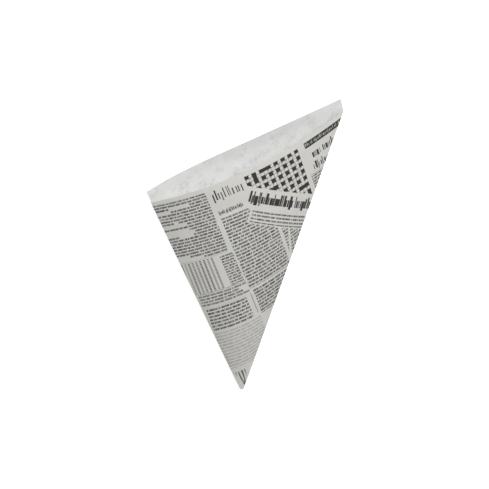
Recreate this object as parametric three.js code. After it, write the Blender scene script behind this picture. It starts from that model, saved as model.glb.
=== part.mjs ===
// Paper cone bag, lying open on its back.
// Millimetres, +Z up, +Y from the folded tip to the mouth, front panel on top.
// Both panels are parts of one cone: every straight line on the paper runs through one theoretical apex.

import * as THREE from "three";
import { mergeVertices } from "three/addons/utils/BufferGeometryUtils.js";

// Lengths along the two side creases, from the theoretical apex.
const FRONT_LEFT = 180;
const FRONT_RIGHT = 252;
const BACK_LEFT = 190;
const BACK_RIGHT = 266;
// The back panel's right corner is cut off square, this far in from the crease.
const CORNER_CUT = 6;

// How the mouth stands open.
const SPREAD = THREE.MathUtils.degToRad(44.65);
const FRONT_BULGE = 0.148;
const FRONT_SKEW = -0.05;
const BACK_BULGE = 0.1434;
const BACK_SKEW = -0.3;
const ROLL = THREE.MathUtils.degToRad(10.5);
// The belly is pressed flat on the table by this share of its length.
const BELLY_FLAT = 0.004;

// The sheet.
const WALL = 0.3;
const FLAP_WIDTH = 12;
const TIP_CUT = 3.5;
const CAVITY_START = 8;
const PANEL_COLUMNS = 34;
const ROWS = 7;
// First and last facet of a panel, as a share of its half width.
const EDGE_FACET = 0.16;

// Section of one panel where the cone is one unit long.
function panelHeight(a, bulge, skew) {
  return bulge * (1 - a * a) * (1 + skew * a);
}

function rolledPoint(a, height) {
  const half = Math.tan(SPREAD / 2);
  const x = half * a;
  return new THREE.Vector3(
    Math.cos(ROLL) * x + Math.sin(ROLL) * height,
    1,
    -Math.sin(ROLL) * x + Math.cos(ROLL) * height
  );
}

function columnStations() {
  const stations = [-1];
  const inner = 1 - EDGE_FACET;
  for (let i = 0; i <= PANEL_COLUMNS; i += 1) {
    stations.push(-inner + (2 * inner * i) / PANEL_COLUMNS);
  }
  stations.push(1);
  return stations;
}

// Unit directions of the panels' straight lines, with the belly on the table plane.
const backSection = columnStations().map((a) => rolledPoint(a, -panelHeight(a, BACK_BULGE, BACK_SKEW)));
const frontSection = columnStations().map((a) => rolledPoint(a, panelHeight(a, FRONT_BULGE, FRONT_SKEW)));
const bellyHeight = Math.min(...backSection.map((p) => p.z)) + BELLY_FLAT;
backSection.forEach((p) => {
  p.z = Math.max(p.z, bellyHeight);
});
const PITCH = Math.atan(-bellyHeight);

function layOnTable(section) {
  return section.map((p) => p.clone().applyAxisAngle(new THREE.Vector3(1, 0, 0), PITCH).normalize());
}

const frontLines = layOnTable(frontSection);
const backLines = layOnTable(backSection);

// Angle of each line on the flat sheet, counted from the left crease.
function sheetAngles(lines) {
  const angles = [0];
  for (let i = 1; i < lines.length; i += 1) {
    angles.push(angles[i - 1] + lines[i - 1].angleTo(lines[i]));
  }
  return angles;
}

// Distance from the apex to a straight cut on the flat sheet.
function cutLength(angle, angleA, lengthA, angleB, lengthB) {
  const ax = lengthA * Math.cos(angleA);
  const ay = lengthA * Math.sin(angleA);
  const dx = lengthB * Math.cos(angleB) - ax;
  const dy = lengthB * Math.sin(angleB) - ay;
  return (ax * dy - ay * dx) / (Math.cos(angle) * dy - Math.sin(angle) * dx);
}

// A panel is its lines, their sheet angles and the outward normals of its flat facets.
function makePanel(lines, side) {
  const panel = { lines, angles: sheetAngles(lines) };
  panel.total = panel.angles[panel.angles.length - 1];
  panel.normals = [];
  for (let i = 1; i < lines.length; i += 1) {
    panel.normals.push(lines[i].clone().cross(lines[i - 1]).normalize().multiplyScalar(-side));
  }
  return panel;
}

// Adds a line inside a facet, so that a cut's corner has a vertex of its own.
function addLine(panel, angle) {
  let i = 1;
  while (panel.angles[i] < angle && i < panel.angles.length - 1) {
    i += 1;
  }
  if (Math.abs(panel.angles[i] - angle) < 1e-4 || Math.abs(panel.angles[i - 1] - angle) < 1e-4) {
    return;
  }
  const start = panel.lines[i - 1];
  const axis = start.clone().cross(panel.lines[i]).normalize();
  const line = start.clone().applyAxisAngle(axis, angle - panel.angles[i - 1]);
  panel.lines.splice(i, 0, line);
  panel.angles.splice(i, 0, angle);
  panel.normals.splice(i, 0, panel.normals[i - 1].clone());
}

const front = makePanel(frontLines, -1);
const back = makePanel(backLines, 1);

// The corner cut runs from the front's edge at the right crease to the back's mouth edge.
const cornerAngle = back.total - Math.asin(CORNER_CUT / BACK_RIGHT);
const cornerLength = cutLength(cornerAngle, 0, BACK_LEFT, back.total, BACK_RIGHT);
const flapAngle = Math.asin(FLAP_WIDTH / FRONT_LEFT);
addLine(back, cornerAngle);
addLine(back, flapAngle);

function frontEnd(angle) {
  return cutLength(angle, 0, FRONT_LEFT, front.total, FRONT_RIGHT);
}

function backEnd(angle) {
  if (angle > cornerAngle + 1e-6) {
    return cutLength(angle, cornerAngle, cornerLength, back.total, FRONT_RIGHT);
  }
  return cutLength(angle, 0, BACK_LEFT, back.total, BACK_RIGHT);
}

// How far a line moves when the facets on its two sides move out by the given offsets.
function shift(line, normalA, offsetA, normalB, offsetB) {
  const dot = normalA.dot(normalB);
  if (dot > 0.99999) {
    return normalA.clone().multiplyScalar(offsetA);
  }
  const det = 1 - dot * dot;
  const moved = normalA.clone().multiplyScalar((offsetA - offsetB * dot) / det);
  return moved.addScaledVector(normalB, (offsetB - offsetA * dot) / det);
}

// Points along one line of the paper, between two distances from the apex.
function alongLine(line, moved, from, to, rows) {
  const points = [];
  for (let i = 0; i <= rows; i += 1) {
    points.push(line.clone().multiplyScalar(from + ((to - from) * i) / rows).add(moved));
  }
  return points;
}

const positions = [];

function triangle(a, b, c, flip) {
  if (a.distanceTo(b) < 1e-3 || b.distanceTo(c) < 1e-3 || c.distanceTo(a) < 1e-3) {
    return;
  }
  const order = flip ? [a, c, b] : [a, b, c];
  order.forEach((p) => positions.push(p.x, p.y, p.z));
}

// Fills the strip between two rows of points that need not have equal counts.
function stitch(left, right, flip) {
  let i = 0;
  let j = 0;
  while (i < left.length - 1 || j < right.length - 1) {
    const nextLeft = (i + 1) / (left.length - 1);
    const nextRight = (j + 1) / (right.length - 1);
    if (j < right.length - 1 && (nextRight <= nextLeft || i === left.length - 1)) {
      triangle(left[i], right[j], right[j + 1], flip);
      j += 1;
    } else {
      triangle(left[i], right[j], left[i + 1], flip);
      i += 1;
    }
  }
}

function stitchAll(columns, flip) {
  for (let i = 1; i < columns.length; i += 1) {
    stitch(columns[i - 1], columns[i], flip);
  }
}

const last = back.lines.length - 1;
const frontLast = front.lines.length - 1;
const leftCrease = front.lines[0];
const rightCrease = front.lines[frontLast];
const still = new THREE.Vector3();

// Outer faces. The glue flap is the front panel carried round the left crease and over the back.
const flapTop = cutLength(-flapAngle, 0, FRONT_LEFT, front.total, FRONT_RIGHT);
const flapCrease = shift(leftCrease, front.normals[0], 0, back.normals[0], WALL);
const flapColumn = back.angles.findIndex((angle) => Math.abs(angle - flapAngle) < 1e-4);
const creaseOut = alongLine(leftCrease, flapCrease, TIP_CUT, FRONT_LEFT, ROWS);

const frontOuter = front.lines.map((line, i) => {
  if (i === 0) {
    return creaseOut;
  }
  return alongLine(line, still, TIP_CUT, frontEnd(front.angles[i]), ROWS + 2);
});

const flapColumns = [];
const plainColumns = [];
back.lines.forEach((line, i) => {
  const end = backEnd(back.angles[i]);
  if (i <= flapColumn) {
    const share = back.angles[i] / flapAngle;
    const top = FRONT_LEFT + (flapTop - FRONT_LEFT) * share;
    const before = back.normals[Math.max(i - 1, 0)];
    const after = back.normals[i];
    const moved = i === 0 ? flapCrease : shift(line, before, WALL, after, WALL);
    const covered = i === 0 ? creaseOut : alongLine(line, moved, TIP_CUT, top, ROWS);
    const free = alongLine(line, still, top, end, 2);
    flapColumns.push([...covered, ...free]);
    if (i === flapColumn) {
      const under = alongLine(line, still, TIP_CUT, top, ROWS);
      stitch(covered, under, true);
      plainColumns.push([...under, ...free.slice(1)]);
    }
  } else if (i === last) {
    plainColumns.push(frontOuter[frontLast]);
  } else {
    plainColumns.push(alongLine(line, still, TIP_CUT, end, ROWS + 2));
  }
});

stitchAll(frontOuter, false);
stitchAll(flapColumns, true);
stitchAll(plainColumns, true);

// Inner faces, one wall in from the outer ones.
const leftIn = shift(leftCrease, front.normals[0], -WALL, back.normals[0], -WALL);
const rightIn = shift(rightCrease, front.normals[frontLast - 1], -WALL, back.normals[last - 1], -WALL);
const leftInner = alongLine(leftCrease, leftIn, CAVITY_START, FRONT_LEFT, ROWS);
const rightInner = alongLine(rightCrease, rightIn, CAVITY_START, FRONT_RIGHT, ROWS);

const frontInner = front.lines.map((line, i) => {
  if (i === 0) {
    return leftInner;
  }
  if (i === frontLast) {
    return rightInner;
  }
  const moved = shift(line, front.normals[i - 1], -WALL, front.normals[i], -WALL);
  return alongLine(line, moved, CAVITY_START, frontEnd(front.angles[i]), ROWS);
});

const backInner = back.lines.map((line, i) => {
  const end = backEnd(back.angles[i]);
  if (i === 0) {
    return [...leftInner, ...alongLine(leftCrease, leftIn, FRONT_LEFT, BACK_LEFT, 1).slice(1)];
  }
  if (i === last) {
    return rightInner;
  }
  const moved = shift(line, back.normals[i - 1], -WALL, back.normals[i], -WALL);
  // A line very near a crease starts from the crease's own first point.
  const nearRight = back.total - back.angles[i] < 0.06;
  const nearLeft = back.angles[i] < 0.06;
  if (nearRight || nearLeft) {
    const start = nearRight ? rightInner[0] : leftInner[0];
    return [start, ...alongLine(line, moved, FRONT_LEFT / 2, end, 3)];
  }
  return alongLine(line, moved, CAVITY_START, end, ROWS);
});

stitchAll(frontInner, true);
stitchAll(backInner, false);

// Cut edges of the paper round the mouth.
function endPoints(columns) {
  return columns.map((column) => column[column.length - 1]);
}

function startPoints(columns) {
  return columns.map((column) => column[0]);
}

stitch(endPoints(frontInner), endPoints(frontOuter), false);
const backOuterEnds = endPoints([...flapColumns.slice(0, -1), ...plainColumns]);
stitch(endPoints(backInner), backOuterEnds, true);

// The lip's free left edge, and the small triangle where the front's cut meets it.
const lipOuter = flapColumns[0].slice(ROWS + 1);
const lipInner = backInner[0].slice(ROWS);
stitch(lipOuter, lipInner, false);
triangle(lipInner[0], creaseOut[ROWS], lipOuter[0], true);

// The folded tip is solid up to the cavity.
stitch([...startPoints(flapColumns), ...startPoints(plainColumns)], startPoints(frontOuter), true);
stitch(startPoints(backInner), startPoints(frontInner), false);

const geometry = new THREE.BufferGeometry();
geometry.setAttribute("position", new THREE.Float32BufferAttribute(positions, 3));
geometry.computeBoundingBox();
const box = geometry.boundingBox;
geometry.translate(-(box.min.x + box.max.x) / 2, -(box.min.y + box.max.y) / 2, -box.min.z);
const solid = mergeVertices(geometry, 1e-4);
solid.computeVertexNormals();

const paper = new THREE.MeshStandardMaterial({ color: 0xd9d8d2, roughness: 0.8, metalness: 0 });
const sheet = new THREE.Mesh(solid, paper);
sheet.name = "paper_sheet";

const group = new THREE.Group();
group.name = "paper_cone_bag";
group.add(sheet);

export default group;
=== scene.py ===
import math

import bpy
from mathutils import Matrix, Vector


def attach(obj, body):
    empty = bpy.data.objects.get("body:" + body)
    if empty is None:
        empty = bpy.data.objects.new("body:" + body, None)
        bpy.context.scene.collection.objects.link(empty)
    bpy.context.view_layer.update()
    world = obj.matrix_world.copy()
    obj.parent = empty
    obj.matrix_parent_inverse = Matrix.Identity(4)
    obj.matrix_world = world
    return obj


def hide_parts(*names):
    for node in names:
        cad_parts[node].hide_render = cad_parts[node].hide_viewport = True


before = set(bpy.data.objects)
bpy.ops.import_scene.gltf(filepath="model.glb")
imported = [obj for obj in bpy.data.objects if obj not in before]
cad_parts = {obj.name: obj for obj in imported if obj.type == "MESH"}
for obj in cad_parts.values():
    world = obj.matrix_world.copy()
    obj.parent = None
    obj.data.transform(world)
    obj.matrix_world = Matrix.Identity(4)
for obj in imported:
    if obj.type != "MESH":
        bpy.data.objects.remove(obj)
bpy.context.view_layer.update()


# Camera.
# It hangs far above the bag and looks nearly straight down, turned a few degrees, so that the
# inside of the taller back panel shows as a lip over the front panel.

PHOTO_WIDTH = 0.40587
CAMERA_DISTANCE = 12.0
CAMERA_TARGET = Vector((-0.0042, 0.0015, 0.012))
CAMERA_TURNS = (-3.575, 3.993, -2.112)
SENSOR_WIDTH = 36.0
CLIP_END = 60.0

camera_data = bpy.data.cameras.new("camera")
camera = bpy.data.objects.new("camera", camera_data)
bpy.context.collection.objects.link(camera)
camera.rotation_euler = tuple(math.radians(turn) for turn in CAMERA_TURNS)
camera_turn = camera.rotation_euler.to_matrix()
camera.location = CAMERA_TARGET + camera_turn @ Vector((0, 0, CAMERA_DISTANCE))
camera_data.sensor_width = SENSOR_WIDTH
camera_data.lens = SENSOR_WIDTH * CAMERA_DISTANCE / PHOTO_WIDTH
camera_data.clip_end = CLIP_END
bpy.context.scene.camera = camera
bpy.context.scene.view_settings.view_transform = "Standard"


# Table and studio light.
# A plain white table, lit by one wide soft lamp over the mouth end and by an even grey world.
# The table shows white to the camera and still takes the bag's own soft shadow.

TABLE_SIZE = 6.0
TABLE_COLOUR = (0.8, 0.8, 0.8, 1)
TABLE_LIFT = 0.72
WORLD_STRENGTH = 0.45
WHITE = (1, 1, 1, 1)
WINDOW_PLACE = Vector((0.8, 1.0, 2.2))
WINDOW_SIZE = 1.6
WINDOW_POWER = 42.0


def background_rays(tree):
    """1 for the rays that show the background: camera, glossy and transmission rays."""
    path = tree.nodes.new("ShaderNodeLightPath")
    seen = path.outputs["Is Camera Ray"]
    for kind in ("Is Glossy Ray", "Is Transmission Ray"):
        larger = tree.nodes.new("ShaderNodeMath")
        larger.operation = "MAXIMUM"
        tree.links.new(seen, larger.inputs[0])
        tree.links.new(path.outputs[kind], larger.inputs[1])
        seen = larger.outputs[0]
    return seen


bpy.ops.object.select_all(action="DESELECT")
bpy.ops.mesh.primitive_plane_add(size=TABLE_SIZE, location=(0, 0, 0))
table = bpy.context.object
table.name = "table_top"

table_finish = bpy.data.materials.new("white_table")
table_finish.use_nodes = True
table_nodes = table_finish.node_tree.nodes
table_links = table_finish.node_tree.links
table_nodes.clear()
table_output = table_nodes.new("ShaderNodeOutputMaterial")
table_paint = table_nodes.new("ShaderNodeBsdfDiffuse")
table_paint.inputs["Color"].default_value = TABLE_COLOUR
table_lift = table_nodes.new("ShaderNodeEmission")
table_strength = table_nodes.new("ShaderNodeMath")
table_strength.operation = "MULTIPLY"
table_strength.inputs[1].default_value = TABLE_LIFT
table_links.new(background_rays(table_finish.node_tree), table_strength.inputs[0])
table_links.new(table_strength.outputs[0], table_lift.inputs["Strength"])
table_sum = table_nodes.new("ShaderNodeAddShader")
table_links.new(table_paint.outputs[0], table_sum.inputs[0])
table_links.new(table_lift.outputs[0], table_sum.inputs[1])
table_links.new(table_sum.outputs[0], table_output.inputs["Surface"])
table.data.materials.append(table_finish)

studio = bpy.data.worlds.new("studio")
bpy.context.scene.world = studio
studio.use_nodes = True
studio_nodes = studio.node_tree.nodes
studio_links = studio.node_tree.links
studio_light = studio_nodes["Background"]
studio_light.inputs["Color"].default_value = WHITE
studio_light.inputs["Strength"].default_value = WORLD_STRENGTH
studio_white = studio_nodes.new("ShaderNodeBackground")
studio_white.inputs["Color"].default_value = WHITE
studio_choice = studio_nodes.new("ShaderNodeMixShader")
studio_links.new(background_rays(studio.node_tree), studio_choice.inputs[0])
studio_links.new(studio_light.outputs[0], studio_choice.inputs[1])
studio_links.new(studio_white.outputs[0], studio_choice.inputs[2])
studio_links.new(studio_choice.outputs[0], studio_nodes["World Output"].inputs["Surface"])

window_data = bpy.data.lights.new("window_over_mouth", "AREA")
window_data.size = WINDOW_SIZE
window_data.energy = WINDOW_POWER
window = bpy.data.objects.new("window_over_mouth", window_data)
bpy.context.collection.objects.link(window)
window.location = WINDOW_PLACE
window.rotation_euler = (-WINDOW_PLACE).to_track_quat("-Z", "Y").to_euler()


# Paper sheet.
# One cut sheet of thin newsprint paper, wrapped into a cone: a glue flap, the front panel, a fold
# on the right, and the taller back panel, whose left edge lies under the flap. Its outer face is
# printed all over, and its inner face is bare.

PAPER_THICKNESS = 0.00018

# The cone: where its apex is, how wide it spreads, how high each panel bulges for its length and
# how far its crest leans to one side, how the bag rolls and pitches where it rests, and how low its
# belly reaches before the table presses it flat.
APEX = Vector((-0.011578, -0.123113, 0.0))
HALF_SPREAD = math.tan(math.radians(44.65) / 2)
FRONT_BULGE, FRONT_SKEW = 0.148, -0.05
BACK_BULGE, BACK_SKEW = -0.1434, -0.3
ROLL = math.radians(10.5)
PITCH = math.radians(7.9065)
BELLY_HEIGHT = -0.138878

# The flat sheet: lengths from the apex along the left crease and along the fold on the right, the
# cut corner, the flap, the folded tip, and the gap that a fold keeps from the paper under it.
FRONT_LEFT, FRONT_RIGHT = 0.180, 0.252
BACK_LEFT, BACK_RIGHT = 0.190, 0.266
CORNER_CUT = 0.006
FLAP_WIDTH = 0.012
TIP_CUT = 0.0035
TIP_ROUNDING = 0.0012
PRESSED_TIP = 0.035
TIP_HEIGHT = 0.42
FOLD_GAP = 0.00028

# The mesh of the sheet, in columns from the tip to the mouth.
PANEL_COLUMNS = 96
CORNER_COLUMNS = 6
FLAP_COLUMNS = 6
SHEET_ROWS = 56
ROW_CROWDING = 1.2
SMALLEST_STEP = 0.002
ROUND_OFF = 1e-7
LEFT_CREASE = -0.9999
BESIDE_CREASE = -0.98
SMOOTH_ANGLE = math.radians(28)


def cone_line(across, bulge, skew, press=1.0):
    """Unit vector of one straight line of a panel; across runs from -1, left, to 1, right.

    Press is the share of its full height that the panel keeps there.
    """
    height = bulge * (1 - across**2) * (1 + skew * across) * press
    line = Matrix.Rotation(ROLL, 3, "Y") @ Vector((HALF_SPREAD * across, 1, height))
    line.z = max(line.z, BELLY_HEIGHT)
    return (Matrix.Rotation(PITCH, 3, "X") @ line).normalized()


def across_and_angles(bulge, skew, count):
    """Places across a panel and the angle of each on the flat sheet, from the left crease."""
    places = [2 * i / count - 1 for i in range(count + 1)]
    angles = [0.0]
    for i in range(count):
        step = cone_line(places[i], bulge, skew).angle(cone_line(places[i + 1], bulge, skew))
        angles.append(angles[-1] + step)
    return places, angles


def place_at(angle, places, angles):
    """Place across a panel that lies at an angle on the flat sheet."""
    for i in range(1, len(angles)):
        if angle <= angles[i]:
            share = (angle - angles[i - 1]) / (angles[i] - angles[i - 1])
            return places[i - 1] + share * (places[i] - places[i - 1])
    return places[-1]


def cut_length(angle, angle_a, length_a, angle_b, length_b):
    """Distance from the apex to a straight cut on the flat sheet."""
    ax, ay = length_a * math.cos(angle_a), length_a * math.sin(angle_a)
    dx = length_b * math.cos(angle_b) - ax
    dy = length_b * math.sin(angle_b) - ay
    return (ax * dy - ay * dx) / (math.cos(angle) * dy - math.sin(angle) * dx)


front_places, front_angles = across_and_angles(FRONT_BULGE, FRONT_SKEW, PANEL_COLUMNS)
back_places, back_angles = across_and_angles(BACK_BULGE, BACK_SKEW, PANEL_COLUMNS)
front_total, back_total = front_angles[-1], back_angles[-1]
corner_angle = back_total - math.asin(CORNER_CUT / BACK_RIGHT)
corner_length = cut_length(corner_angle, 0, BACK_LEFT, back_total, BACK_RIGHT)
flap_angle = math.asin(FLAP_WIDTH / FRONT_LEFT)

# Each column of the sheet: panel, place across, angle on the sheet, length to the cut edge.
columns = []
for i in range(FLAP_COLUMNS):
    angle = flap_angle * (1 - i / FLAP_COLUMNS)
    length = cut_length(-angle, 0, FRONT_LEFT, front_total, FRONT_RIGHT)
    place = place_at(angle, back_places, back_angles)
    columns.append(("flap", place, -angle, length))
for place, angle in zip(front_places, front_angles):
    length = cut_length(angle, 0, FRONT_LEFT, front_total, FRONT_RIGHT)
    columns.append(("front", place, angle, length))
back_list = []
for i in range(1, CORNER_COLUMNS + 1):
    back_list.append(back_total + (corner_angle - back_total) * i / CORNER_COLUMNS)
for angle in reversed(back_angles):
    if angle < corner_angle - SMALLEST_STEP:
        back_list.append(angle)
for angle in back_list:
    if angle > corner_angle + ROUND_OFF:
        length = cut_length(angle, corner_angle, corner_length, back_total, FRONT_RIGHT)
    else:
        length = cut_length(angle, 0, BACK_LEFT, back_total, BACK_RIGHT)
    place = place_at(angle, back_places, back_angles)
    columns.append(("back", place, front_total + back_total - angle, length))

# The flap and the left fold stand one sheet clear of the back panel under them.
left_line = cone_line(-1, FRONT_BULGE, FRONT_SKEW)
front_in = cone_line(BESIDE_CREASE, FRONT_BULGE, FRONT_SKEW) - left_line
back_in = cone_line(BESIDE_CREASE, BACK_BULGE, BACK_SKEW) - left_line
front_in = (front_in - left_line * front_in.dot(left_line)).normalized()
back_in = (back_in - left_line * back_in.dot(left_line)).normalized()
back_out = back_in.cross(left_line).normalized()
if back_out.z > 0:
    back_out = -back_out

bpy.ops.object.select_all(action="DESELECT")
bpy.ops.mesh.primitive_grid_add(
    x_subdivisions=len(columns) - 1, y_subdivisions=SHEET_ROWS, size=BACK_RIGHT, calc_uvs=True
)
sheet = bpy.context.object
sheet.name = "paper_cone"
sheet.data.name = "paper_cone"


def press_at(distance):
    """The folded tip is pressed flatter than the rest of the cone."""
    share = min(1.0, max(0.0, (distance - TIP_CUT) / (PRESSED_TIP - TIP_CUT)))
    return TIP_HEIGHT + (1 - TIP_HEIGHT) * share * share * (3 - 2 * share)


DENT_DEPTH = 0.0005
DENT_LENGTH = 0.06
DENT_SLANT = 2.6
DENTS_ACROSS = 5.2
DENT_DRIFT = 31
DENT_STARTS = (9, 4)


def dent_at(across, distance, bulge):
    """Shallow dents of handled paper: the share of a panel's height that they take away.

    The bulge also shifts the waves, so that the two panels have different dents.
    """
    wave = 2 * math.pi * distance / DENT_LENGTH
    along = math.sin(wave + DENT_SLANT * across + DENT_STARTS[0] * bulge)
    sideways = math.sin(DENTS_ACROSS * across + DENT_DRIFT * distance + DENT_STARTS[1] * bulge)
    depth = DENT_DEPTH * (1 + along * sideways) / 2
    return depth / (abs(bulge) * max(distance, PRESSED_TIP))


# The page is printed a little askew on the sheet. The map holds page places in metres, scaled and
# shifted so that they all lie between 0 and 1.
PAGE_TURN = math.radians(4.6)
PAGE_SCALE = 3.0
PAGE_SHIFT = 0.1


def page_at(distance, angle):
    """A point of the flat sheet in page coordinates, whose rows run level."""
    x, y = distance * math.cos(angle), distance * math.sin(angle)
    page_x = y * math.cos(PAGE_TURN) - x * math.sin(PAGE_TURN)
    page_y = x * math.cos(PAGE_TURN) + y * math.sin(PAGE_TURN)
    return page_x, page_y


def sheet_point(column, row):
    """Place of one grid vertex on the folded cone, and the same point on the flat page."""
    kind, across, angle, length = column
    share = (row / SHEET_ROWS) ** ROW_CROWDING
    start = TIP_CUT + TIP_ROUNDING * across**4
    distance = start + (length - start) * share
    shape = (FRONT_BULGE, FRONT_SKEW) if kind == "front" else (BACK_BULGE, BACK_SKEW)
    press = press_at(distance) - dent_at(across, distance, shape[0])
    point = APEX + cone_line(across, *shape, press) * distance
    if kind == "flap":
        point += back_out * FOLD_GAP
    elif kind == "front" and across < LEFT_CREASE:
        point -= front_in * FOLD_GAP
    elif kind == "back" and across < LEFT_CREASE:
        point += back_in * FOLD_GAP
    return point, tuple(value * PAGE_SCALE + PAGE_SHIFT for value in page_at(distance, angle))


page_map = sheet.data.uv_layers[0]
page_map.name = "flat_page"
flat_places = []
for vertex in sheet.data.vertices:
    row, number = divmod(vertex.index, len(columns))
    point, flat = sheet_point(columns[number], row)
    vertex.co = point
    flat_places.append(flat)
for loop in sheet.data.loops:
    page_map.data[loop.index].uv = flat_places[loop.vertex_index]

# The sheet's finish. The outer face carries plain grey strokes laid out as a newspaper page, and
# they spell nothing: text columns, a table, a puzzle grid and headline bars. The inner face is
# bare, with faint clouds of the print that shows through.

PAPER_COLOUR = (0.648, 0.641, 0.608)
# Paper colour with a painted highlight, for the band along the mouth's front edge.
EDGE_HIGHLIGHT_COLOUR = (0.678, 0.673, 0.634)
INNER_COLOUR = (0.737, 0.734, 0.724)
INK_COLOUR = (0.018, 0.017, 0.017)
# Grey of the print that shows through the inner face, also used for the painted shade along the
# back's rim.
SHOW_THROUGH_AND_SHADE_COLOUR = (0.5, 0.5, 0.515)
INK_COVER = 0.97


def connect(tree, source, socket):
    """Links a socket, or sets it where the source is a plain number."""
    if isinstance(source, (int, float)):
        socket.default_value = source
    else:
        tree.links.new(source, socket)


def calc(tree, operation, first, second=None, third=None):
    """One Math node."""
    node = tree.nodes.new("ShaderNodeMath")
    node.operation = operation
    for socket, source in zip(node.inputs, (first, second, third)):
        if source is not None:
            connect(tree, source, socket)
    return node.outputs[0]


def either(tree, *prints):
    """Several prints laid over each other."""
    result = prints[0]
    for other in prints[1:]:
        result = calc(tree, "MAXIMUM", result, other)
    return result


def both(tree, *prints):
    """The product of several: a print kept only where the others are, or a value scaled."""
    result = prints[0]
    for other in prints[1:]:
        result = calc(tree, "MULTIPLY", result, other)
    return result


def outside(tree, area):
    """The rest of the page, outside an area."""
    return calc(tree, "SUBTRACT", 1.0, area)


def between(tree, value, low, high):
    """1 where the value lies between two numbers, else 0."""
    return calc(tree, "COMPARE", value, (low + high) / 2, (high - low) / 2)


def field(tree, page, area):
    """1 inside an area of the page, given as left, right, bottom and top in millimetres."""
    left, right, bottom, top = area
    return both(tree, between(tree, page[0], left, right), between(tree, page[1], bottom, top))


def pair(tree, x, y, depth=0.0):
    """Two or three numbers as a vector."""
    vector = tree.nodes.new("ShaderNodeCombineXYZ")
    for socket, source in zip(vector.inputs, (x, y, depth)):
        connect(tree, source, socket)
    return vector.outputs[0]


def cloud(tree, x, y, seed, detail=0.0):
    """Smooth noise, nearly all of it between 0.3 and 0.7."""
    noise = tree.nodes.new("ShaderNodeTexNoise")
    noise.inputs["Scale"].default_value = 1.0
    noise.inputs["Detail"].default_value = detail
    tree.links.new(pair(tree, x, y, seed), noise.inputs["Vector"])
    return noise.outputs["Fac"]


def page_cloud(tree, page, scale_x, scale_y, seed, detail=0.0):
    """Smooth noise over the page, with its own scale along and up the page."""
    return cloud(tree, both(tree, page[0], scale_x), both(tree, page[1], scale_y), seed, detail)


def chance(tree, x, y):
    """A fixed random number from 0 to 1 for each pair of whole numbers."""
    dice = tree.nodes.new("ShaderNodeTexWhiteNoise")
    dice.noise_dimensions = "2D"
    tree.links.new(pair(tree, x, y), dice.inputs["Vector"])
    return dice.outputs["Value"]


def ramp(tree, value, low, high, to_low=0.0, to_high=1.0):
    """A value brought from one range to another, and kept inside it."""
    node = tree.nodes.new("ShaderNodeMapRange")
    connect(tree, value, node.inputs["Value"])
    node.inputs["From Min"].default_value = low
    node.inputs["From Max"].default_value = high
    node.inputs["To Min"].default_value = to_low
    node.inputs["To Max"].default_value = to_high
    return node.outputs["Result"]


def spread(tree, share, low, high):
    """A share from 0 to 1 as a value between two numbers."""
    return ramp(tree, share, 0, 1, low, high)


def cells(tree, value, size):
    """The number of a cell along a line, and the place inside it from 0 to 1."""
    along = calc(tree, "DIVIDE", value, size)
    return calc(tree, "FLOOR", along), calc(tree, "FRACT", along)


def line_number(tree, page, pitch):
    """The number of the text line that a point lies on."""
    return cells(tree, page[1], pitch)[0]


def aslant(tree, page, angle, x, y):
    """Page coordinates turned about a point, for print that runs aslant."""
    dx = calc(tree, "SUBTRACT", page[0], x)
    dy = calc(tree, "SUBTRACT", page[1], y)
    cosine, sine = math.cos(math.radians(angle)), math.sin(math.radians(angle))
    along = calc(tree, "ADD", both(tree, dx, cosine), both(tree, dy, sine))
    above = calc(tree, "SUBTRACT", both(tree, dy, cosine), both(tree, dx, sine))
    return along, above


# Small type: the share of a line's height that its strokes fill, the length of a letter and of a
# word in millimetres, half the gap between words as a share of a word, how far each line's words
# are set over, the step in the noise from line to line, and the palest and darkest stroke.
TYPE_WEIGHT = 0.62
LETTER = 0.8
WORD = 6.0
HALF_GAP = 0.055
LINE_STAGGER = 1.7
NOISE_STEP = 7.37
STROKE_SHADES = (0.45, 0.92)


def small_type(tree, page, pitch, seed, weight=TYPE_WEIGHT, letter=LETTER):
    """Lines of short strokes as dense as small type, a pitch apart in millimetres."""
    row, height = cells(tree, page[1], pitch)
    band = between(tree, height, 0.5 - weight / 2, 0.5 + weight / 2)
    staggered = calc(tree, "ADD", page[0], both(tree, row, LINE_STAGGER))
    number, across = cells(tree, staggered, WORD)
    gap_place = spread(tree, chance(tree, number, calc(tree, "ADD", row, seed)), 0.1, 0.9)
    gap = calc(tree, "COMPARE", across, gap_place, HALF_GAP)
    lane = calc(tree, "ADD", both(tree, row, NOISE_STEP), height)
    strokes = cloud(tree, calc(tree, "DIVIDE", page[0], letter), lane, seed)
    return both(tree, band, outside(tree, gap), ramp(tree, strokes, 0.3, 0.6, *STROKE_SHADES))


# Headline bars: how far their spacing sways and in how many waves a bar, the least and greatest
# share of their width, the height of the short bars, the foot of the raised ones, and the share
# of bars left out between words.
BAR_SWAY = 0.6
WAVES_PER_BAR = 0.6
BAR_WIDTHS = (0.75, 1.3)
SHORT_BAR = 0.7
RAISED_FOOT = 0.18
WORD_SPACES = 0.07


def headline_bars(tree, page, area, pitch, seed, width):
    """A headline as upright bars of uneven height, width and spacing."""
    bottom, top = area[2:]
    sway = BAR_SWAY * pitch
    narrow, wide = BAR_WIDTHS
    wave = cloud(tree, both(tree, page[0], WAVES_PER_BAR / pitch), 0.0, seed)
    spaced = calc(tree, "ADD", page[0], ramp(tree, wave, 0.2, 0.8, -sway, sway))
    number, across = cells(tree, spaced, pitch)
    broad = spread(tree, chance(tree, number, seed), narrow * width, wide * width)
    height = ramp(tree, page[1], bottom, top)
    reach = ramp(tree, chance(tree, number, seed + 1), 0.62, 0.66, SHORT_BAR, 1.0)
    foot = ramp(tree, chance(tree, number, seed + 2), 0.8, 0.84, RAISED_FOOT, 0.0)
    return both(
        tree,
        field(tree, page, area),
        calc(tree, "LESS_THAN", across, broad),
        calc(tree, "LESS_THAN", height, reach),
        calc(tree, "GREATER_THAN", height, foot),
        calc(tree, "GREATER_THAN", chance(tree, number, seed + 3), WORD_SPACES),
    )


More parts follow.
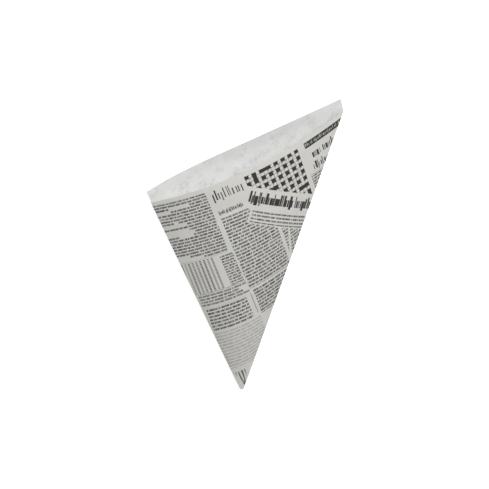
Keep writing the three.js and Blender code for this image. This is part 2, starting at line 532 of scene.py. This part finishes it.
# Left side of the front. Areas are left, right, bottom and top, and all sizes are in millimetres.
LIST_AREA = (-15, 35.3, 121.5, 176.0)
LIST_PITCH = 2.6
LIST_STARTS = (21, -26)
TAG_REACH = (-16, -1)
TABLE_AREA = (-10, 22, 92.5, 121)
TABLE_COLUMN = 3.6
TABLE_ROW = 1.3
SIDE_AREA = (26.5, 38, 92.5, 119.5)
LOWER_AREA = (-5, 38.5, 80.5, 92)
LOWER_ENDS = (30, 46)
NOTE_AREA = (-3, 34, 58.5, 79)
RULE_AREA = (38.2, 38.9, 60, 79)


def left_column(tree, page):
    """Ragged list, table of figures and notes down the left side of the front."""
    row = line_number(tree, page, LIST_PITCH)
    start = spread(tree, chance(tree, row, 3.0), *LIST_STARTS)
    tag = both(tree, between(tree, page[0], *TAG_REACH), chance(tree, row, 9.0))
    listed = either(tree, calc(tree, "GREATER_THAN", page[0], start), ramp(tree, tag, 0.4, 0.42))
    strokes = small_type(tree, page, LIST_PITCH, seed=1.0)
    entries = both(tree, field(tree, page, LIST_AREA), strokes, listed)

    number, across = cells(tree, page[0], TABLE_COLUMN)
    tick = cells(tree, page[1], TABLE_ROW)[1]
    dots = both(tree, between(tree, across, 0.18, 0.66), between(tree, tick, 0.14, 0.84))
    shade = spread(tree, chance(tree, number, 2.0), 0.5, 0.9)
    figures = both(tree, field(tree, page, TABLE_AREA), dots, shade)

    side = both(tree, field(tree, page, SIDE_AREA), small_type(tree, page, 2.35, seed=31.0))
    end = spread(tree, chance(tree, row, 5.0), *LOWER_ENDS)
    ragged = both(
        tree,
        field(tree, page, LOWER_AREA),
        small_type(tree, page, LIST_PITCH, seed=33.0),
        calc(tree, "LESS_THAN", page[0], end),
        0.9,
    )
    strokes = small_type(tree, page, 2.9, seed=35.0, weight=0.6, letter=1.2)
    notes = both(tree, field(tree, page, NOTE_AREA), strokes)
    rule = both(tree, field(tree, page, RULE_AREA), 0.6)
    return either(tree, entries, figures, side, ragged, notes, rule)


# The slanted headline starts at a point of the page and runs down to the right. Areas beside it
# are measured along it and up from its middle line. The text columns are level, and a gutter that
# leans splits the narrow one.
SLANT = -37
SLANT_START = (68.0, 158.0)
CLEAR_AREA = (4.0, 70.0, -21.5, -9.0)
UNDER_AREA = (6.0, 66.0, -20.5, -10.0)
ARTICLES_TOP = -9.5
WIDE_COLUMN = (39.5, 81, 83, 150)
NARROW_COLUMN = (84, 108, 84, 134)
GUTTER_ANGLE, GUTTER_X, GUTTER_Y = 76, 90.0, 112
HALF_GUTTER = 1.1
LAST_COLUMN = (41.5, 78, 57.5, 81.5)


def articles(tree, page, slanted):
    """Text columns in the middle of the front, cut off by the slanted headline."""
    below = calc(tree, "LESS_THAN", slanted[1], ARTICLES_TOP)
    clear = outside(tree, field(tree, slanted, CLEAR_AREA))
    gutter = aslant(tree, page, GUTTER_ANGLE, GUTTER_X, GUTTER_Y)[1]
    split = outside(tree, between(tree, gutter, -HALF_GUTTER, HALF_GUTTER))
    narrow = both(tree, field(tree, page, NARROW_COLUMN), split)
    text_area = either(tree, field(tree, page, WIDE_COLUMN), narrow)
    upper = both(tree, text_area, small_type(tree, page, 2.9, seed=11.0), below, clear)
    strokes = small_type(tree, page, 2.8, seed=21.0, weight=0.66)
    lower = both(tree, field(tree, page, LAST_COLUMN), strokes)
    strokes = small_type(tree, slanted, 3.1, seed=61.0, weight=0.5)
    under = both(tree, field(tree, slanted, UNDER_AREA), strokes)
    return either(tree, upper, lower, under)


FAINT_AREA = (-4, 40, 23, 56)
FAINT_SHADE = 0.4
TIP_AREA = (1.0, 12, 6, 19)
TIP_SHADE = 0.85


def faint_print(tree, page):
    """Faint small print towards the tip, and dark upright strokes at the very end."""
    strokes = small_type(tree, page, 2.7, seed=41.0, weight=0.55)
    faint = both(tree, field(tree, page, FAINT_AREA), strokes, FAINT_SHADE)
    upright = page_cloud(tree, page, 0.5, 0.05, seed=4.0)
    marks = ramp(tree, upright, 0.44, 0.54, 0.0, TIP_SHADE)
    return either(tree, faint, both(tree, field(tree, page, TIP_AREA), marks))


PUZZLE_AREA = (70.3, 121.7, 128, 176.6)
PUZZLE_X, PUZZLE_Y = 73.7, 129.0
SQUARE = 3.43
BLOCK = (0.21, 0.79)
INSIDE_LINES = (0.12, 0.88)
JOINED_SHARE = 0.93
PUZZLE_FOOT = 9.5


def puzzle_grid(tree, page, slanted):
    """A plain puzzle grid of dark and open squares above the slanted headline.

    Every second square of every second row is dark, and spreads a little over its lines. A few
    squares between them are dark too.
    """
    x = calc(tree, "SUBTRACT", page[0], PUZZLE_X)
    y = calc(tree, "SUBTRACT", page[1], PUZZLE_Y)
    number_x, across = cells(tree, x, SQUARE)
    number_y, height = cells(tree, y, SQUARE)
    odd_x = calc(tree, "MODULO", number_x, 2.0)
    odd_y = calc(tree, "MODULO", number_y, 2.0)
    pair_x = cells(tree, calc(tree, "SUBTRACT", page[0], PUZZLE_X + SQUARE / 2), 2 * SQUARE)[1]
    pair_y = cells(tree, calc(tree, "SUBTRACT", page[1], PUZZLE_Y + SQUARE / 2), 2 * SQUARE)[1]
    block = both(tree, between(tree, pair_x, *BLOCK), between(tree, pair_y, *BLOCK))
    dice = chance(tree, number_x, both(tree, number_y, 3.0))
    joined = calc(tree, "GREATER_THAN", dice, JOINED_SHARE)
    dark = either(tree, block, both(tree, either(tree, odd_x, odd_y), joined))
    open_x = between(tree, across, *INSIDE_LINES)
    open_y = between(tree, height, *INSIDE_LINES)
    lines = outside(tree, both(tree, open_x, open_y))
    broken = ramp(tree, page_cloud(tree, page, 1.4, 1.4, seed=6.0), 0.4, 0.6)
    clue = both(
        tree,
        between(tree, across, 0.12, 0.4),
        between(tree, height, 0.6, 0.88),
        calc(tree, "GREATER_THAN", chance(tree, number_y, number_x), 0.4),
    )
    squares = either(tree, dark, both(tree, lines, broken, 0.8), both(tree, clue, 0.6))
    above = calc(tree, "GREATER_THAN", slanted[1], PUZZLE_FOOT)
    return both(tree, field(tree, page, PUZZLE_AREA), above, squares)


LIGHT_HEAD = (38.5, 67, 164.5, 175.5)
SMALL_HEAD = (38.5, 61, 152.8, 157.4)
HEAVY_HEAD = (0.0, 70, -5.7, 6.1)
DARK_BAND = (128.5, 178, 172.0, 177.6)
BAND_MARKS = (129, 178, 173.0, 176.6)
FIRST_HEAD = (132.5, 165, 158.6, 168.2)
SECOND_HEAD = (130.5, 162, 147.5, 156.5)
RIGHT_TEXT = (126, 152, 124, 146.5)


def headlines(tree, page, slanted):
    """Light and heavy headline bars, level and aslant, and the dark band at the right."""
    marks = headline_bars(tree, page, BAND_MARKS, pitch=1.35, seed=81.0, width=0.4)
    return either(
        tree,
        headline_bars(tree, page, LIGHT_HEAD, pitch=2.5, seed=71.0, width=0.4),
        headline_bars(tree, page, SMALL_HEAD, pitch=1.15, seed=75.0, width=0.56),
        headline_bars(tree, slanted, HEAVY_HEAD, pitch=1.9, seed=57.0, width=0.86),
        both(tree, field(tree, page, DARK_BAND), outside(tree, both(tree, marks, 0.7))),
        headline_bars(tree, page, FIRST_HEAD, pitch=1.9, seed=85.0, width=0.5),
        headline_bars(tree, page, SECOND_HEAD, pitch=1.9, seed=91.0, width=0.5),
        both(tree, field(tree, page, RIGHT_TEXT), small_type(tree, page, 2.6, seed=95.0)),
    )


BACK_COLUMN = 43.0
BACK_BLOCK = 58.0
BACK_HEADS = (-60, 300, 47.5, 54.5)


def back_columns(tree, page):
    """The back goes on with plain text columns under headline bars."""
    across = cells(tree, page[0], BACK_COLUMN)[1]
    height = cells(tree, page[1], BACK_BLOCK)[1]
    block = both(tree, between(tree, across, 0.04, 0.96), between(tree, height, 0.03, 0.78))
    text = both(tree, block, small_type(tree, page, 2.9, seed=101.0))
    head_page = (page[0], both(tree, height, BACK_BLOCK))
    heads = headline_bars(tree, head_page, BACK_HEADS, pitch=1.9, seed=105.0, width=0.45)
    return either(tree, text, heads)


def page_place(tree):
    """Place on the flat page, in millimetres, read from the sheet's own map."""
    flat = tree.nodes.new("ShaderNodeUVMap")
    flat.uv_map = "flat_page"
    split = tree.nodes.new("ShaderNodeSeparateXYZ")
    tree.links.new(flat.outputs["UV"], split.inputs[0])
    size = 1000 / PAGE_SCALE
    return tuple(
        both(tree, calc(tree, "SUBTRACT", split.outputs[i], PAGE_SHIFT), size) for i in (0, 1)
    )


def blend(tree, share, first, second):
    """One colour going over into another."""
    mix = tree.nodes.new("ShaderNodeMix")
    mix.data_type = "RGBA"
    connect(tree, share, mix.inputs["Factor"])
    for socket, colour in ((mix.inputs[6], first), (mix.inputs[7], second)):
        if isinstance(colour, tuple):
            socket.default_value = (*colour, 1)
        else:
            tree.links.new(colour, socket)
    return mix.outputs[2]


def shaded(tree, colour, *shades):
    """A colour made lighter or darker."""
    scale = tree.nodes.new("ShaderNodeVectorMath")
    scale.operation = "SCALE"
    tree.links.new(colour, scale.inputs[0])
    tree.links.new(both(tree, *shades), scale.inputs["Scale"])
    return scale.outputs[0]


def paper_grain(tree, page):
    """Fine fibres and cloudy formation of cheap uncoated paper: the fibres, and both as a shade."""
    clouds = page_cloud(tree, page, 0.09, 0.09, seed=7.0, detail=3.0)
    fibres = page_cloud(tree, page, 1.6, 0.5, seed=9.0, detail=2.0)
    return fibres, both(
        tree, ramp(tree, clouds, 0.3, 0.7, 0.965, 1.035), ramp(tree, fibres, 0.3, 0.7, 0.98, 1.02)
    )


PAPER_SHEEN = 0.2
ROUGHNESS_SPREAD = 0.05
FIBRE_RELIEF = 0.35
FIBRE_HEIGHT = 0.00005


def paper_finish(name):
    """A material with a matte paper shader."""
    finish = bpy.data.materials.new(name)
    finish.use_nodes = True
    shader = finish.node_tree.nodes["Principled BSDF"]
    shader.inputs["Specular IOR Level"].default_value = PAPER_SHEEN
    sheet.data.materials.append(finish)
    return finish.node_tree, shader


def finish_face(tree, shader, colour, fibres, roughness):
    """Colour, a roughness that varies with the fibres, and a fine fibre relief."""
    tree.links.new(colour, shader.inputs["Base Color"])
    smooth, rough = roughness - ROUGHNESS_SPREAD, roughness + ROUGHNESS_SPREAD
    tree.links.new(ramp(tree, fibres, 0.3, 0.7, smooth, rough), shader.inputs["Roughness"])
    relief = tree.nodes.new("ShaderNodeBump")
    relief.inputs["Strength"].default_value = FIBRE_RELIEF
    relief.inputs["Distance"].default_value = FIBRE_HEIGHT
    tree.links.new(fibres, relief.inputs["Height"])
    tree.links.new(relief.outputs[0], shader.inputs["Normal"])


# The printed outer face, with a painted highlight that makes it paler along the mouth's front edge,
# and painted shade that makes it darker towards the tip.
OUTER_ROUGHNESS = 0.78
# Painted highlight: the page heights in millimetres over which it fades in towards the mouth's
# front edge.
PAINTED_HIGHLIGHT_BAND = (172.0, 179.0)
# Painted shade towards the tip: the page heights in millimetres where it is full and where it ends,
# and the paper's shade at each.
TIP_TO_MIDDLE = (30.0, 150.0)
PAINTED_TIP_SHADE = (0.89, 1.0)

outer_tree, outer_shader = paper_finish("printed_newsprint")
page = page_place(outer_tree)
slanted = aslant(outer_tree, page, SLANT, *SLANT_START)
front_print = either(
    outer_tree,
    left_column(outer_tree, page),
    articles(outer_tree, page, slanted),
    faint_print(outer_tree, page),
    puzzle_grid(outer_tree, page, slanted),
    headlines(outer_tree, page, slanted),
)
fold_angle = math.degrees(front_total - PAGE_TURN)
past_fold = aslant(outer_tree, page, 90 - fold_angle, 0.0, 0.0)[1]
on_back = calc(outer_tree, "LESS_THAN", past_fold, 0.0)
all_print = either(
    outer_tree,
    both(outer_tree, front_print, outside(outer_tree, on_back)),
    both(outer_tree, back_columns(outer_tree, page), on_back),
)
fibres, grain_shade = paper_grain(outer_tree, page)
# Painted highlight: the paper goes over into its highlight colour near the mouth's front edge.
highlight_share = ramp(outer_tree, page[1], *PAINTED_HIGHLIGHT_BAND)
# Painted shade, darker towards the tip.
painted_tip_shade = ramp(outer_tree, page[1], *TIP_TO_MIDDLE, *PAINTED_TIP_SHADE)
paper = blend(outer_tree, highlight_share, PAPER_COLOUR, EDGE_HIGHLIGHT_COLOUR)
paper = shaded(outer_tree, paper, grain_shade, painted_tip_shade)
printed = blend(outer_tree, both(outer_tree, all_print, INK_COVER), paper, INK_COLOUR)
finish_face(outer_tree, outer_shader, printed, fibres, OUTER_ROUGHNESS)

# The bare inner face. It has painted shade in a grey band along the back's rim, and painted light
# that makes it paler deeper inside. Distances are in millimetres, either past the rim, so that
# those inside it are negative, or along the rim from its right end.
INNER_ROUGHNESS = 0.7
SHOW_THROUGH_ANGLE = 74
SHOW_THROUGH_SHADES = (0.05, 0.55)
# Painted shade along the back's rim: its strength, and where it fades out inside the rim, towards
# the right end and towards the left end.
PAINTED_RIM_SHADE = 0.3
PAINTED_RIM_SHADE_ENDS = (-10.0, -4.0)
PAINTED_RIM_SHADE_RIGHT = (10.0, 60.0)
PAINTED_RIM_SHADE_LEFT = (190.0, 130.0)
# Painted light deeper inside: how much paler it makes the inner face, and where it fades in from
# the rim and from the rim's right end.
PAINTED_LIGHT_GAIN = 0.14
PAINTED_LIGHT_ENDS = (-8.0, -20.0)
PAINTED_LIGHT_RIGHT = (15.0, 60.0)

inner_tree, inner_shader = paper_finish("bare_inner_face")
page = page_place(inner_tree)
fibres, grain_shade = paper_grain(inner_tree, page)
level = aslant(inner_tree, page, SHOW_THROUGH_ANGLE, 0.0, 0.0)
blotches = page_cloud(inner_tree, level, 0.07, 0.12, seed=3.0, detail=1.0)
marks = page_cloud(inner_tree, level, 0.3, 0.35, seed=8.0, detail=1.0)
show_through = both(
    inner_tree,
    ramp(inner_tree, blotches, 0.45, 0.62),
    ramp(inner_tree, marks, 0.35, 0.65, *SHOW_THROUGH_SHADES),
)
rim_right = Vector(page_at(BACK_RIGHT * 1000, front_total))
rim_left = Vector(page_at(BACK_LEFT * 1000, front_total + back_total))
rim_angle = math.degrees(math.atan2(rim_left.y - rim_right.y, rim_left.x - rim_right.x))
rim_along, past_rim = aslant(inner_tree, page, rim_angle, rim_right.x, rim_right.y)
# Painted shade in a grey band along the back's rim.
rim_painted_shade = both(
    inner_tree,
    ramp(inner_tree, past_rim, *PAINTED_RIM_SHADE_ENDS),
    ramp(inner_tree, rim_along, *PAINTED_RIM_SHADE_RIGHT),
    ramp(inner_tree, rim_along, *PAINTED_RIM_SHADE_LEFT),
    PAINTED_RIM_SHADE,
)
# Painted light, paler deeper inside the cone.
painted_light = both(
    inner_tree,
    ramp(inner_tree, past_rim, *PAINTED_LIGHT_ENDS),
    ramp(inner_tree, rim_along, *PAINTED_LIGHT_RIGHT),
    PAINTED_LIGHT_GAIN,
)
painted_lightening = calc(inner_tree, "ADD", painted_light, 1.0)
# The show-through, and the painted shade along the rim, laid over the bare inner colour.
bare = blend(
    inner_tree, either(inner_tree, show_through, rim_painted_shade), INNER_COLOUR, SHOW_THROUGH_AND_SHADE_COLOUR
)
bare = shaded(inner_tree, bare, grain_shade, painted_lightening)
finish_face(inner_tree, inner_shader, bare, fibres, INNER_ROUGHNESS)

# The sheet gets its thickness inwards. Its inner face and its cut edges take the bare finish.
wall = sheet.modifiers.new("paper thickness", "SOLIDIFY")
wall.thickness = PAPER_THICKNESS
wall.offset = -1.0
wall.use_even_offset = False
wall.material_offset = 1
wall.material_offset_rim = 1
bpy.ops.object.modifier_apply(modifier=wall.name)
bpy.ops.object.shade_smooth_by_angle(angle=SMOOTH_ANGLE)

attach(sheet, "root")
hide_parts("paper_sheet")
